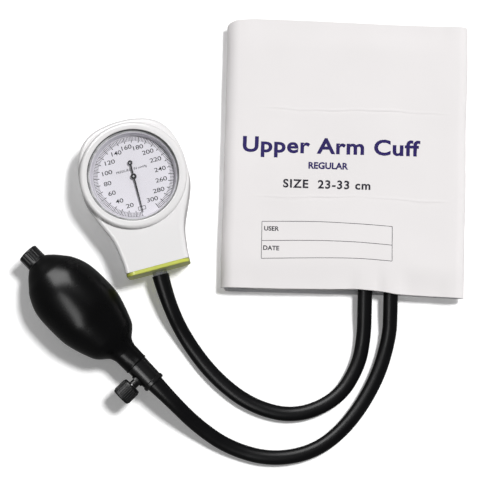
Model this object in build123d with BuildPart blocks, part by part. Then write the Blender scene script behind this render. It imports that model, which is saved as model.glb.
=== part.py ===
from build123d import *
from math import acos, cos, degrees, hypot, pi, radians, sin, tan
import os

# Upper arm blood pressure monitor: an aneroid gauge, a squeeze bulb with its valves, a folded
# cuff with its bladder, and the two hoses that join them. Everything lies on one flat surface
# at Z = 0. Lengths are in millimetres, angles in degrees.

os.makedirs("parts", exist_ok=True)

# ---------------------------------------------------------------- layout on the surface
gauge_x, gauge_y, gauge_turn = -59.55, 17.25, 15.0
bulb_x, bulb_y, bulb_turn = -115.75, -22.85, -45.5
cuff_x, cuff_y, cuff_turn = 52.85, 28.65, -1.5

# ---------------------------------------------------------------- fits
hole_play, pivot_end_play = 0.05, 0.1
press_play = 0.02

# ---------------------------------------------------------------- gauge case
# right half of the case outline, from the top of the head to the end of the neck
half_outline = [
    (0, 30.3),
    (7.5, 29.7),
    (14.3, 28.0),
    (21.0, 23.9),
    (25.2, 17.8),
    (27.4, 11.5),
    (28.5, 5.0),
    (28.7, -1.5),
    (28.1, -8.5),
    (26.0, -15.2),
    (22.4, -23.5),
    (20.0, -29.0),
    (18.4, -35.0),
    (17.5, -42.0),
    (17.2, -49.0),
]
neck_end = -49.0
case_wall = 2.0
case_front_z = 26.5
case_split_z = 13.0
back_round = 4.0
front_round = 2.4
rim_r, rim_top_z, rim_round, mouth_round = 28.2, 30.5, 2.2, 0.7
lens_r, lens_bottom_z, lens_top_z = 23.9, 27.9, 29.5
lens_bore_r, lens_ledge_r, lens_ledge_z, lens_bevel = 24.1, 23.0, 27.5, 0.25
end_plate_depth, end_plate_w, end_plate_h, end_plate_corner = 2.0, 34.2, 25.8, 5.2
end_plate_bottom_z, end_plate_round = 0.3, 0.6

case_screw_spots = [(18.6, 18.6), (-18.6, 18.6), (13.0, -34.0), (-13.0, -34.0)]
case_boss_r, case_post_r = 2.9, 2.5
case_screw_r, case_screw_head_r = 1.05, 1.9
case_screw_clear_r, case_recess_r, case_recess_depth = 1.2, 2.1, 3.0
case_screw_head_z, case_screw_tip_z, case_screw_hole_end = 1.2, 20.0, 21.0
case_slot_length, case_slot_w, case_slot_depth = 2.2, 0.5, 0.9

# ---------------------------------------------------------------- gauge movement
frame_spots = [(18.5, -8.0), (-18.5, -8.0), (0.0, 19.0)]
frame_boss_r, frame_screw_r, frame_head_r, frame_head_depth = 2.4, 0.8, 1.6, 1.0
frame_screw_depth, frame_hole_depth = 7.0, 8.0
frame_slot_length, frame_slot_w, frame_slot_depth = 3.4, 0.4, 0.4
base_r, base_bottom_z, base_depth = 21.5, 13.0, 1.2
base_top_z = base_bottom_z + base_depth
bridge_bottom_z, bridge_depth = 19.0, 1.0
bridge_top_z = bridge_bottom_z + bridge_depth
pillar_spots = [(-9.0, 0.0), (12.5, 8.5), (12.5, -8.5)]
pillar_r, bridge_screw_r, bridge_head_r, bridge_head_depth = 1.6, 0.5, 1.3, 0.8
bridge_screw_depth, bridge_hole_depth, bridge_lobe_r = 3.2, 3.5, 2.7
bridge_slot_length, bridge_slot_w, bridge_slot_depth = 2.8, 0.35, 0.35
stud_x_gap, stud_y, stud_r = 0.55, 0.5, 0.35
dial_r, dial_bottom_z, dial_depth, dial_hole_r = 23.6, 21.2, 0.7, 1.4
dial_foot_spots = [(-15.0, 11.0), (-15.0, -11.0), (6.0, 17.0)]
dial_foot_r = 0.9

# gear train: a toothed sector turns a pinion on the pointer's arbor
gear_module = 0.25
pinion_teeth, sector_full_teeth = 10, 120
pinion_pitch_r = gear_module * pinion_teeth / 2
sector_pitch_r = gear_module * sector_full_teeth / 2
gear_distance = pinion_pitch_r + sector_pitch_r
sector_swing = 28.0
tooth_step = 360.0 / sector_full_teeth
sector_first_tooth, sector_last_tooth = -1, 11
pressure_angle = radians(20)
gear_play = 0.07
tooth_above, tooth_below = 0.6 * gear_module, 1.2 * gear_module
sector_bottom_z, sector_depth = 16.0, 0.8
pinion_bottom_z, pinion_depth = 15.7, 1.4
pivot_r, pivot_hole_r, pivot_step = 0.35, 0.42, 0.2
sector_rim_w, sector_spoke_angle, sector_hub_r = 1.3, radians(5), 1.9
sector_window_r, pin_boss_r = 4.0, 0.85
tail_middle, tail_length, tail_w = 1.4, 2.4, 1.7

# rocker: the capsule's button lifts its arm, and its finger pushes the sector's pin
rocker_y, rocker_z, rocker_r = -0.95, 11.6, 0.6
rocker_lean = 9.35
arm_reach, arm_length, arm_w, arm_depth = 5.0, 5.6, 2.0, 0.7
finger_length, finger_w, finger_depth = 4.2, 1.2, 0.6
pin_reach, pin_r, pin_bottom_z = 2.62, 0.45, 14.9
rocker_left_x, rocker_right_x, rocker_over, lug_w = -6.8, 19.8, 0.3, 1.2

# capsule: two corrugated discs joined at the rim
capsule_y = rocker_y - arm_reach * cos(radians(rocker_lean))
capsule_bottom_z, capsule_top_z, capsule_skin = 4.6, 8.4, 0.25
capsule_rings = [
    (2.2, 0.0),
    (3.6, 0.55),
    (5.2, 0.1),
    (6.8, 0.6),
    (8.4, 0.15),
    (10.0, 0.65),
    (11.6, 0.25),
    (12.7, 0.95),
    (13.4, 1.5),
    (14.0, 1.5),
]
capsule_inlet_r = 0.8
button_r, button_top_z, button_round = 1.3, 10.3, 0.9
socket_r, tube_reach = 6.0, 4.8
air_tube_r, air_tube_bore_r, air_tube_z, air_tube_bend_r = 1.0, 0.6, 3.3, 6.0
air_tube_start_y, air_tube_high_y, air_tube_low_y = -43.6, -36.0, -24.0

# ---------------------------------------------------------------- hoses
hose_r, hose_bore_r, barb_r = 3.9, 2.0, 1.95
bend_share = 0.45
gauge_first_run, bulb_first_run, cuff_last_run = 14.2, 12.0, 14.1

nipple_z, nipple_bore_r, nipple_body_r = 13.0, 1.05, 3.0
nipple_seat_y, nipple_nut_y = neck_end - end_plate_depth, -53.4
nipple_barb_length = 7.2
nipple_socket_r, nipple_flange_r, nipple_thread_r, nipple_gasket_r = 1.9, 4.4, 2.4, 4.3
nut_half_w = 3.35

# ---------------------------------------------------------------- bulb
# outer profile of the rubber bulb: distance from the face of its end valve, radius
bulb_profile = [
    (7.9, 6.3),
    (10.6, 9.3),
    (14.3, 12.5),
    (18.5, 15.6),
    (25.9, 18.6),
    (34.8, 19.7),
    (46.5, 19.5),
    (54.4, 17.7),
    (62.3, 14.9),
    (65.5, 13.4),
    (67.9, 11.3),
    (71.0, 7.9),
    (74.2, 6.6),
]
bulb_z = 19.88
bulb_wall, bulb_mouth_r = 2.4, 3.95
bulb_neck_end, bulb_neck_r = 83.0, 6.3

end_cap_r, end_cap_length, end_cap_round, end_cap_notches = 5.65, 7.9, 0.8, 12
notch_r, notch_out, notch_end_gap = 0.75, 0.25, 1.6
end_plug_r, end_plug_end = 3.9, 14.0
ball_r, ball_centre, ball_chamber_r = 1.9, 5.5, 2.5
ball_seat, ball_hole_r = 4.0, 1.2
ball_stop, ball_stop_depth, ball_stop_holes, ball_stop_hole_r = 9.0, 1.2, 4, 0.55

valve_start, valve_end = 75.0, 96.7
valve_air_r, valve_chamber_r, valve_chamber_end = 1.0, 2.9, 79.6
outlet_ring_depth, outlet_disc_r = 1.4, 2.5
outlet_disc_start, outlet_disc_depth, outlet_stop_start = 76.45, 0.75, 78.4
valve_barb_length, valve_plug_r, valve_plug_nose = 6.2, 3.9, 1.0
valve_body_r, valve_body_end_r = 5.95, 5.6
valve_ring_r, valve_ring_start, valve_ring_end, valve_ring_slope = 6.1, 94.8, 96.2, 0.4
outlet_ring_bore_r = 1.3
outlet_studs, outlet_stud_at, outlet_stud_r = 3, 2.0, 0.5
vent_at, vent_r, vent_length = 4.2, 0.6, 8.0

knob_at = 89.2
release_boss_r, release_boss_end = 3.4, 6.3
release_seat, release_hole_r, release_chamber_r = 3.2, 0.8, 2.35
spindle_r, spindle_start, spindle_end = 1.5, 3.75, 15.0
needle_head_r, needle_root_r, needle_tip_r, needle_reach = 1.3, 0.75, 0.45, 0.55
gland_r, gland_bore_r, gland_start, gland_end = 2.3, 1.58, 4.9, 8.8
knob_r, knob_start, knob_end, knob_grooves = 5.35, 9.0, 18.1, 28
knob_step, knob_round, knob_band_inset = 0.25, 1.0, 1.3
groove_r, groove_out = 0.38, 0.1

# ---------------------------------------------------------------- cuff
cuff_half_length = 73.0
# heights of the shell's outer face and of its inner face in the four layers
shell_outer = [0.0, 13.9, 2.3, 12.7]
shell_inner = [0.5, 13.4, 2.8, 12.2]
lining_outer = [0.55, 13.35, 2.85, 4.0]
lining_inner = [1.05, 12.85, 3.35, 3.5]
left_roll_x, right_roll_x = -58.05, 59.2
shell_fold_x, lining_fold_x = -47.0, -46.95
strip_start_x, strip_end_x = 58.0, 50.0
bladder_x, bladder_w, bladder_z, bladder_h, bladder_wall = -1.0, 98.0, 8.1, 8.1, 0.8
bladder_half_length = 66.0
bladder_corner = bladder_h / 2 - 0.05
gauge_port_x, bulb_port_x = 12.25, 26.0
port_barb_length, port_bore_r, port_flange_r, port_flange_depth = 6.3, 1.1, 3.0, 0.8
hook_x, hook_w, hook_z, hook_depth = 30.0, 40.0, 1.05, 0.65
loop_x, loop_w, loop_z, loop_depth = 27.0, 54.0, 1.7, 0.6
patch_length, patch_corner = 120.0, 3.0


# ---------------------------------------------------------------- frames of the three groups
gauge = Plane(Location((gauge_x, gauge_y, 0), (0, 0, gauge_turn)))
cuff = Plane(Location((cuff_x, cuff_y, 0), (0, 0, cuff_turn)))
cuff_section = Plane(cuff.location * Location((0, cuff_half_length, 0), (90, 0, 0)))
bulb_way = Vector(cos(radians(bulb_turn)), sin(radians(bulb_turn)), 0)
bulb_origin = Vector(bulb_x, bulb_y, bulb_z)
bulb_axis = Axis(bulb_origin, bulb_way)
bulb_plane = Plane(bulb_origin, x_dir=bulb_way, z_dir=bulb_way.cross(Vector(0, 0, 1)))
knob_way = Vector(sin(radians(bulb_turn)), -cos(radians(bulb_turn)), 0)


def gauge_point(x, y, z):
    """A point of the gauge's own frame, in the shared frame."""
    return gauge.from_local_coords(Vector(x, y, z))


def gauge_down(y, z):
    """A plane across the neck of the gauge, facing out of its end."""
    return Plane(gauge.location * Location((0, y, z), (90, 0, 0)))


def along_bulb(distance):
    """A plane across the bulb's axis, facing the hose."""
    return Plane(bulb_origin + bulb_way * distance, x_dir=(0, 0, 1), z_dir=bulb_way)


def along_knob(distance):
    """A plane across the release knob's axis, facing away from the bulb's axis."""
    centre = bulb_origin + bulb_way * knob_at + knob_way * distance
    return Plane(centre, x_dir=(0, 0, 1), z_dir=knob_way)


def along_port(x, y):
    """A plane across a bladder port, facing out of the cuff's lower edge."""
    return Plane(cuff.location * Location((x, y, bladder_z), (90, 0, 0)))


def inset(points, distance):
    """The same curve moved to its right by a distance, normal to itself."""
    moved = []
    for i, (x, y) in enumerate(points):
        before, after = points[max(i - 1, 0)], points[min(i + 1, len(points) - 1)]
        run, rise = after[0] - before[0], after[1] - before[1]
        size = hypot(run, rise)
        moved.append((x + distance * rise / size, y - distance * run / size))
    return moved


def case_outline(distance, end_y):
    """Outline of the case, inset by a distance and cut straight across at the neck's end."""
    points = inset(half_outline, distance)
    points[0] = (0, half_outline[0][1] - distance)
    points[-1] = (half_outline[-1][0] - distance, end_y)
    Spline(*points, tangents=((1, 0), (0, -1)))
    mirror(about=Plane.YZ)
    Line(points[-1], (-points[-1][0], end_y))


def flank_angle(teeth, radius, play):
    """Half the angle a tooth covers at a radius: involute above the base circle, straight below."""
    pitch_r = gear_module * teeth / 2
    base = pitch_r * cos(pressure_angle)
    roll = acos(min(1.0, base / max(radius, base)))
    at_pitch = pi / (2 * teeth) - play / (2 * pitch_r)
    return at_pitch + (tan(pressure_angle) - pressure_angle) - (tan(roll) - roll)


def polar(radius, angle, centre_x=0.0):
    """A point at a radius and an angle in radians round a centre on the X axis."""
    return (centre_x + radius * cos(angle), radius * sin(angle))


def gear_tooth(teeth, middle, centre_x=0.0):
    """One tooth: two flanks and the tip between them. Returns the two root points."""
    pitch_r = gear_module * teeth / 2
    root_r, tip_r = pitch_r - tooth_below, pitch_r + tooth_above
    levels = [root_r, (pitch_r + root_r) / 2, pitch_r, (pitch_r + tip_r) / 2, tip_r]
    right = [polar(r, middle - flank_angle(teeth, r, gear_play), centre_x) for r in levels]
    left = [polar(r, middle + flank_angle(teeth, r, gear_play), centre_x) for r in levels]
    Polyline(*right)
    ThreePointArc(right[-1], polar(tip_r, middle, centre_x), left[-1])
    Polyline(*left)
    return right[0], left[0]


def serpentine(levels, turns, start_x, end_x):
    """Straight layers joined by half-round turns, first to the left and then to the right."""
    here = (start_x, levels[0])
    for i, x in enumerate(turns):
        side = -1 if i % 2 == 0 else 1
        reach = abs(levels[i + 1] - levels[i]) / 2
        middle = (x + side * reach, (levels[i] + levels[i + 1]) / 2)
        Line(here, (x, levels[i]))
        ThreePointArc((x, levels[i]), middle, (x, levels[i + 1]))
        here = (x, levels[i + 1])
    Line(here, (end_x, levels[-1]))


def cuff_layer(outer, inner, fold_x):
    """Section through one cloth of the cuff, from its outer tail to its inner end."""
    turns = [left_roll_x, right_roll_x, fold_x]
    serpentine(outer, turns, strip_start_x, strip_end_x)
    serpentine(inner, turns, strip_start_x, strip_end_x)
    Line((strip_start_x, outer[0]), (strip_start_x, inner[0]))
    Line((strip_end_x, outer[-1]), (strip_end_x, inner[-1]))


def bend_radii(points):
    """A radius for each inner point of a route, from its two runs and the turn between them."""
    radii = []
    for before, here, after in zip(points, points[1:], points[2:]):
        into, out = Vector(here) - Vector(before), Vector(after) - Vector(here)
        half_turn = radians(into.get_angle(out)) / 2
        radii.append(bend_share * min(into.length, out.length) / tan(half_turn))
    return radii


# ================================================================ gauge
with BuildPart() as case_body:
    with BuildSketch(gauge):
        with BuildLine():
            case_outline(0, neck_end)
        make_face()
    extrude(amount=case_front_z)
    curves = case_body.edges().filter_by(GeomType.BSPLINE)
    fillet(curves.group_by(Axis.Z)[0], radius=back_round)
    curves = case_body.edges().filter_by(GeomType.BSPLINE)
    fillet(curves.group_by(Axis.Z)[-1], radius=front_round)
    with BuildSketch(gauge.offset(case_front_z - back_round)):
        Circle(rim_r)
    extrude(amount=rim_top_z - case_front_z + back_round)
    rim_edge = case_body.edges().filter_by(GeomType.CIRCLE).group_by(Axis.Z)[-1]
    fillet(rim_edge, radius=rim_round)
    with BuildSketch(gauge.offset(case_wall)):
        with BuildLine():
            case_outline(case_wall, neck_end + case_wall)
        make_face()
    extrude(amount=case_front_z - 2 * case_wall, mode=Mode.SUBTRACT)
    with BuildSketch(gauge_down(neck_end + case_wall, nipple_z)):
        Circle(nipple_body_r + hole_play)
    extrude(amount=2 * case_wall, mode=Mode.SUBTRACT)

with BuildPart() as rear_case:
    add(case_body.part)
    split(bisect_by=gauge.offset(case_split_z), keep=Keep.BOTTOM)
    with BuildSketch(gauge.offset(case_wall)):
        with Locations(*case_screw_spots):
            Circle(case_boss_r)
        with Locations(*frame_spots):
            Circle(frame_boss_r)
    extrude(amount=case_split_z - case_wall)
    with BuildSketch(gauge):
        with Locations(*case_screw_spots):
            Circle(case_screw_clear_r)
    extrude(amount=case_split_z, mode=Mode.SUBTRACT)
    with BuildSketch(gauge):
        with Locations(*case_screw_spots):
            Circle(case_recess_r)
    extrude(amount=case_recess_depth, mode=Mode.SUBTRACT)
    with BuildSketch(gauge.offset(base_bottom_z)):
        with Locations(*frame_spots):
            Circle(frame_screw_r + hole_play)
    extrude(amount=-frame_hole_depth, mode=Mode.SUBTRACT)
rear_case.part.label = "rear_case"

with BuildPart() as front_case:
    add(case_body.part)
    split(bisect_by=gauge.offset(case_split_z), keep=Keep.TOP)
    with BuildSketch(gauge.offset(case_split_z)):
        with Locations(*case_screw_spots):
            Circle(case_post_r)
    extrude(amount=case_front_z - case_wall - case_split_z)
    with BuildSketch(gauge.offset(case_split_z)):
        with Locations(*case_screw_spots):
            Circle(case_screw_r + hole_play)
    extrude(amount=case_screw_hole_end - case_split_z, mode=Mode.SUBTRACT)
    with BuildSketch(gauge.offset(case_front_z - case_wall)):
        Circle(lens_ledge_r)
    extrude(amount=rim_top_z - case_front_z + case_wall, mode=Mode.SUBTRACT)
    with BuildSketch(gauge.offset(lens_ledge_z)):
        Circle(lens_bore_r)
    extrude(amount=rim_top_z - lens_ledge_z, mode=Mode.SUBTRACT)
    mouth = front_case.edges().filter_by(GeomType.CIRCLE).group_by(Axis.Z)[-1]
    fillet(mouth.sort_by(SortBy.RADIUS)[0], radius=mouth_round)
front_case.part.label = "front_case"

with BuildPart() as end_plate:
    with BuildSketch(gauge_down(neck_end, end_plate_bottom_z + end_plate_h / 2)):
        RectangleRounded(end_plate_w, end_plate_h, end_plate_corner)
    extrude(amount=end_plate_depth)
    outer_face = end_plate.faces().sort_by(Axis(gauge.origin, -gauge.y_dir))[-1]
    fillet(outer_face.edges(), radius=end_plate_round)
    with BuildSketch(gauge_down(neck_end, nipple_z)):
        Circle(nipple_body_r + hole_play)
    extrude(amount=end_plate_depth, mode=Mode.SUBTRACT)
end_plate.part.label = "end_plate"

with BuildPart() as case_screws:
    with BuildSketch(gauge.offset(case_screw_head_z)):
        with Locations(*case_screw_spots):
            Circle(case_screw_head_r)
    extrude(amount=case_recess_depth - case_screw_head_z)
    with BuildSketch(gauge.offset(case_recess_depth)):
        with Locations(*case_screw_spots):
            Circle(case_screw_r)
    extrude(amount=case_screw_tip_z - case_recess_depth)
    with BuildSketch(gauge.offset(case_screw_head_z)):
        with Locations(*case_screw_spots):
            Rectangle(case_slot_length, case_slot_w)
            Rectangle(case_slot_w, case_slot_length)
    extrude(amount=case_slot_depth, mode=Mode.SUBTRACT)
case_screws.part.label = "case_screws"

with BuildPart() as lens:
    with BuildSketch(gauge.offset(lens_bottom_z)):
        Circle(lens_r)
    extrude(amount=lens_top_z - lens_bottom_z)
    chamfer(lens.edges().group_by(Axis.Z)[-1], length=lens_bevel)
lens.part.label = "lens"

with BuildPart() as lens_gasket:
    with BuildSketch(gauge.offset(lens_ledge_z)):
        Circle(lens_r)
        Circle(lens_ledge_r + hole_play, mode=Mode.SUBTRACT)
    extrude(amount=lens_bottom_z - lens_ledge_z)
lens_gasket.part.label = "lens_gasket"

with BuildPart() as dial_plate:
    with BuildSketch(gauge.offset(dial_bottom_z)):
        Circle(dial_r)
        Circle(dial_hole_r, mode=Mode.SUBTRACT)
    extrude(amount=dial_depth)
    with BuildSketch(gauge.offset(base_bottom_z)):
        with Locations(*dial_foot_spots):
            Circle(dial_foot_r)
    extrude(amount=dial_bottom_z - base_bottom_z)
dial_plate.part.label = "dial_plate"

# ---------------------------------------------------------------- pointer and its arbor
pointer_z, pointer_depth = 23.3, 0.4
pointer_tip, pointer_tail, pointer_point = 19.8, 7.5, 0.4
pointer_root_half_w, pointer_tip_half_w, pointer_tail_w = 0.45, 0.22, 0.8
pointer_hub_r, pointer_ring_r, pointer_ring_hole_r = 1.55, 1.25, 0.6
arbor_r, arbor_neck_r, arbor_head = 0.7, 0.45, 0.4
collet_r, collet_bottom_z, collet_top_z = 0.95, 17.5, 18.4
arbor_foot_z, arbor_step_z = base_bottom_z + pivot_end_play, base_top_z + pivot_step
arbor_shoulder_z = bridge_bottom_z - pivot_end_play
with BuildPart() as pointer:
    with BuildSketch(gauge.offset(pointer_z)):
        Circle(pointer_hub_r)
        with BuildLine():
            Polyline(
                (-pointer_root_half_w, 0),
                (-pointer_tip_half_w, pointer_point - pointer_tip),
                (0, -pointer_tip),
                (pointer_tip_half_w, pointer_point - pointer_tip),
                (pointer_root_half_w, 0),
                close=True,
            )
        make_face()
        with Locations((0, pointer_tail / 2)):
            Rectangle(pointer_tail_w, pointer_tail)
        with Locations((0, pointer_tail)):
            Circle(pointer_ring_r)
            Circle(pointer_ring_hole_r, mode=Mode.SUBTRACT)
        Circle(arbor_neck_r, mode=Mode.SUBTRACT)
    extrude(amount=pointer_depth)
pointer.part.label = "pointer"

with BuildPart() as pointer_arbor:
    for r, low, high in [
        (pivot_r, arbor_foot_z, arbor_step_z),
        (arbor_r, arbor_step_z, arbor_shoulder_z),
        (collet_r, collet_bottom_z, collet_top_z),
        (arbor_neck_r, arbor_shoulder_z, pointer_z + pointer_depth + arbor_head),
    ]:
        with BuildSketch(gauge.offset(low)):
            Circle(r)
        extrude(amount=high - low)
    with BuildSketch(gauge.offset(pinion_bottom_z)):
        with BuildLine():
            roots = []
            for tooth in range(pinion_teeth):
                roots += gear_tooth(pinion_teeth, 2 * pi * (tooth + 0.5) / pinion_teeth)
            for tooth in range(pinion_teeth):
                Line(roots[2 * tooth + 1], roots[(2 * tooth + 2) % len(roots)])
        make_face()
    extrude(amount=pinion_depth)
pointer_arbor.part.label = "pointer_arbor"

# flat spiral that takes up the play and returns the pointer
spring_bottom_z, spring_depth, spring_turns, spring_strip = 17.6, 0.6, 4, 0.12
spring_inner_r, spring_outer_r, spring_steps = 1.15, 4.4, 24
spiral = []
for step in range(spring_steps * spring_turns + 1):
    share = step / (spring_steps * spring_turns)
    radius = spring_inner_r + share * (spring_outer_r - spring_inner_r)
    spiral.append((radius, 2 * pi * step / spring_steps))
spiral_in = [polar(r, angle) for r, angle in spiral]
spiral_out = [polar(r + spring_strip, angle) for r, angle in spiral]
with BuildPart() as hairspring:
    with BuildSketch(gauge.offset(spring_bottom_z)):
        with BuildLine():
            Spline(*spiral_in)
            Spline(*spiral_out)
            Line(spiral_in[0], spiral_out[0])
            Line(spiral_in[-1], spiral_out[-1])
        make_face()
    extrude(amount=spring_depth)
hairspring.part.label = "hairspring"

# ---------------------------------------------------------------- sector and its arbor
sector_rim_r = sector_pitch_r - tooth_below
rim_inner_r = sector_rim_r - sector_rim_w
sector_from = pi - radians(tooth_step) * (sector_last_tooth + 0.5)
sector_to = pi - radians(tooth_step) * (sector_first_tooth - 0.5)
tail_angle = -radians(sector_swing / 2)
tail_point = polar(pin_reach, tail_angle, gear_distance)
with BuildPart() as sector_gear:
    with BuildSketch(gauge.offset(sector_bottom_z)):
        with BuildLine():
            roots = []
            for tooth in range(sector_last_tooth, sector_first_tooth - 1, -1):
                middle = pi - radians(tooth_step) * tooth
                roots += gear_tooth(sector_full_teeth, middle, gear_distance)
            first = polar(sector_rim_r, sector_from, gear_distance)
            last = polar(sector_rim_r, sector_to, gear_distance)
            corners = [first] + roots + [last]
            for i in range(0, len(corners), 2):
                Line(corners[i], corners[i + 1])
            Polyline(last, (gear_distance, 0), first)
        make_face()
        with BuildLine():
            low, high = sector_from + sector_spoke_angle, sector_to - sector_spoke_angle
            inner = [polar(sector_window_r, a, gear_distance) for a in (low, (low + high) / 2, high)]
            outer = [polar(rim_inner_r, a, gear_distance) for a in (low, (low + high) / 2, high)]
            ThreePointArc(*inner)
            ThreePointArc(*outer)
            Line(inner[0], outer[0])
            Line(inner[-1], outer[-1])
        make_face(mode=Mode.SUBTRACT)
        with Locations((gear_distance, 0)):
            Circle(sector_hub_r)
        with Locations(tail_point):
            Circle(pin_boss_r)
        with Locations((gear_distance + tail_middle, 0)):
            with Locations(Rotation(0, 0, degrees(tail_angle))):
                Rectangle(tail_length, tail_w)
        with Locations((gear_distance, 0)):
            Circle(arbor_r, mode=Mode.SUBTRACT)
    extrude(amount=sector_depth)
    with BuildSketch(gauge.offset(pin_bottom_z)):
        with Locations(tail_point):
            Circle(pin_r)
    extrude(amount=sector_bottom_z - pin_bottom_z)
sector_gear.part.label = "sector_gear"

with BuildPart() as sector_arbor:
    for r, low, high in [
        (pivot_r, arbor_foot_z, arbor_step_z),
        (arbor_r, arbor_step_z, arbor_shoulder_z),
        (pivot_r, arbor_shoulder_z, bridge_top_z - pivot_end_play),
    ]:
        with BuildSketch(gauge.offset(low)):
            with Locations((gear_distance, 0)):
                Circle(r)
        extrude(amount=high - low)
sector_arbor.part.label = "sector_arbor"

# ---------------------------------------------------------------- movement frame
finger_x = gear_distance + pin_reach
slot_w, slot_length = 2.0, 3.4
lug_length, lug_depth, lug_gap = 2.8, 2.3, 0.1
lug_hole_start_x, lug_hole_length = -12.0, 40.0
with BuildPart() as movement_base:
    with BuildSketch(gauge.offset(base_bottom_z)):
        Circle(base_r)
        with Locations(*frame_spots):
            Circle(frame_screw_r + 2 * hole_play, mode=Mode.SUBTRACT)
        with Locations(*dial_foot_spots):
            Circle(dial_foot_r + hole_play, mode=Mode.SUBTRACT)
        with Locations((0, 0), (gear_distance, 0)):
            Circle(pivot_hole_r, mode=Mode.SUBTRACT)
        with Locations((finger_x, rocker_y)):
            Rectangle(slot_w, slot_length, mode=Mode.SUBTRACT)
    extrude(amount=base_depth)
    with BuildSketch(gauge.offset(base_bottom_z)):
        for x in (rocker_left_x - lug_w / 2 - lug_gap, rocker_right_x + lug_w / 2 + lug_gap):
            with Locations((x, rocker_y)):
                Rectangle(lug_w, lug_length)
    extrude(amount=-lug_depth)
    lug_hole = Location((lug_hole_start_x, rocker_y, rocker_z), (0, 90, 0))
    with BuildSketch(Plane(gauge.location * lug_hole)):
        Circle(pivot_hole_r)
    extrude(amount=lug_hole_length, mode=Mode.SUBTRACT)
movement_base.part.label = "movement_base"

with BuildPart() as bridge_pillars:
    with BuildSketch(gauge.offset(base_top_z)):
        with Locations(*pillar_spots):
            Circle(pillar_r)
    extrude(amount=bridge_bottom_z - base_top_z)
    with BuildSketch(gauge.offset(bridge_bottom_z)):
        with Locations(*pillar_spots):
            Circle(bridge_screw_r + hole_play)
    extrude(amount=-bridge_hole_depth, mode=Mode.SUBTRACT)
bridge_pillars.part.label = "bridge_pillars"

with BuildPart() as movement_bridge:
    with BuildSketch(gauge.offset(bridge_bottom_z)):
        with Locations(*pillar_spots, (gear_distance, 0)):
            Circle(bridge_lobe_r)
        make_hull()
        with Locations(*pillar_spots):
            Circle(bridge_screw_r + 2 * hole_play, mode=Mode.SUBTRACT)
        with Locations((gear_distance, 0)):
            Circle(pivot_hole_r, mode=Mode.SUBTRACT)
        Circle(arbor_neck_r + pivot_hole_r - pivot_r, mode=Mode.SUBTRACT)
    extrude(amount=bridge_depth)
    with BuildSketch(gauge.offset(bridge_bottom_z)):
        with Locations((spring_outer_r + stud_x_gap, stud_y)):
            Circle(stud_r)
    extrude(amount=spring_bottom_z - bridge_bottom_z)
movement_bridge.part.label = "movement_bridge"

with BuildPart() as bridge_screws:
    with BuildSketch(gauge.offset(bridge_top_z)):
        with Locations(*pillar_spots):
            Circle(bridge_head_r)
    extrude(amount=bridge_head_depth)
    with BuildSketch(gauge.offset(bridge_bottom_z - bridge_screw_depth)):
        with Locations(*pillar_spots):
            Circle(bridge_screw_r)
    extrude(amount=bridge_depth + bridge_screw_depth)
    with BuildSketch(gauge.offset(bridge_top_z + bridge_head_depth - bridge_slot_depth)):
        with Locations(*pillar_spots):
            Rectangle(bridge_slot_length, bridge_slot_w)
    extrude(amount=bridge_slot_depth, mode=Mode.SUBTRACT)
bridge_screws.part.label = "bridge_screws"

with BuildPart() as frame_screws:
    with BuildSketch(gauge.offset(base_top_z)):
        with Locations(*frame_spots):
            Circle(frame_head_r)
    extrude(amount=frame_head_depth)
    with BuildSketch(gauge.offset(base_bottom_z - frame_screw_depth)):
        with Locations(*frame_spots):
            Circle(frame_screw_r)
    extrude(amount=base_depth + frame_screw_depth)
    with BuildSketch(gauge.offset(base_top_z + frame_head_depth - frame_slot_depth)):
        with Locations(*frame_spots):
            Rectangle(frame_slot_length, frame_slot_w)
    extrude(amount=frame_slot_depth, mode=Mode.SUBTRACT)
frame_screws.part.label = "frame_screws"

# ---------------------------------------------------------------- rocker
rocker_frame = gauge.location * Location((0, rocker_y, rocker_z), (rocker_lean, 0, 0))
rocker_across = Location((0, 0, 0), (0, 90, 0))
with BuildPart() as rocker_shaft:
    for r, low, high in [
        (pivot_r, rocker_left_x - lug_w - rocker_over, rocker_right_x + lug_w + rocker_over),
        (rocker_r, rocker_left_x, rocker_right_x),
    ]:
        with BuildSketch(Plane(rocker_frame * Location((low, 0, 0)) * rocker_across)):
            Circle(r)
        extrude(amount=high - low)
    with Locations(rocker_frame * Location((0, -arm_length / 2, 0))):
        Box(arm_w, arm_length, arm_depth)
    with Locations(rocker_frame * Location((finger_x, 0, finger_length / 2))):
        Box(finger_w, finger_depth, finger_length)
rocker_shaft.part.label = "rocker_shaft"

# ---------------------------------------------------------------- capsule and its air supply
capsule_profile = Plane(gauge.location * Location((0, capsule_y, 0), (90, 0, 0)))
capsule_axis = Axis(gauge_point(0, capsule_y, 0), (0, 0, 1))
disc_top = [(r, capsule_top_z - drop) for r, drop in capsule_rings]
disc_bottom = [(r, capsule_bottom_z + drop) for r, drop in capsule_rings]
room_top = [(r, z - capsule_skin) for r, z in disc_top[:-1]]
room_bottom = [(r, z + capsule_skin) for r, z in disc_bottom[:-1]]
with BuildPart() as capsule:
    with BuildSketch(capsule_profile):
        Polygon((0, capsule_top_z), *disc_top, *disc_bottom[::-1], (0, capsule_bottom_z), align=None)
        Polygon(
            (0, capsule_top_z - capsule_skin),
            *room_top,
            *room_bottom[::-1],
            (0, capsule_bottom_z + capsule_skin),
            align=None,
            mode=Mode.SUBTRACT,
        )
    revolve(axis=capsule_axis)
    with BuildSketch(gauge.offset(capsule_bottom_z)):
        with Locations((0, capsule_y)):
            Circle(capsule_inlet_r)
    extrude(amount=capsule_skin, mode=Mode.SUBTRACT)
capsule.part.label = "capsule"

with BuildPart() as capsule_button:
    with BuildSketch(gauge.offset(capsule_top_z)):
        with Locations((0, capsule_y)):
            Circle(button_r)
    extrude(amount=button_top_z - capsule_top_z)
    fillet(capsule_button.edges().group_by(Axis.Z)[-1], radius=button_round)
capsule_button.part.label = "capsule_button"

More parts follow.
